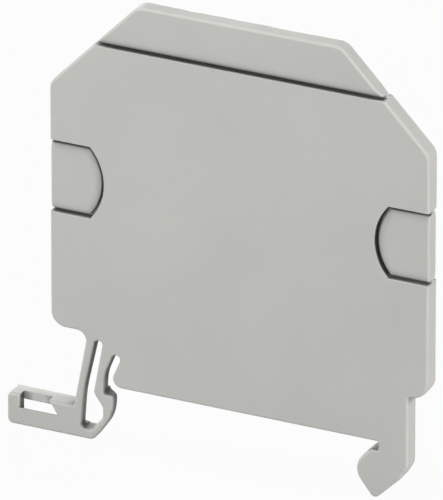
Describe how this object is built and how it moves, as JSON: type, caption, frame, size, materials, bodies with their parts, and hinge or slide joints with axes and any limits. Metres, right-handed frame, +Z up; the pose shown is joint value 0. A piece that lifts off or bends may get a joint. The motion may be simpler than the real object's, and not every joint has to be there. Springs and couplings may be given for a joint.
{
  "type": "terminal block partition plate",
  "caption": "Flat clip-on partition plate for terminal blocks, with a hook foot, a spring latch with release tab, a break-off top strip and break-out side tabs, for a 35 mm top-hat rail.",
  "frame": {"origin": "middle of the rail seat: the plate's lower edge, where it rests on top of the 35 mm rail, midway between the two rail stops and midway through the plate's thickness", "axes": "+Z up from the rail, away from the mounting panel; X across the rail, with the fixed hook foot at +X and the spring latch at -X; +Y through the plate to its back face, along the rail"},
  "size_m": [0.054, 0.0024, 0.057],
  "materials": {
    "moulding": "light grey polyamide with a fine moulded surface"
  },
  "bodies": {
    "root": {"partition_plate": "moulding"}
  },
  "joints": []
}
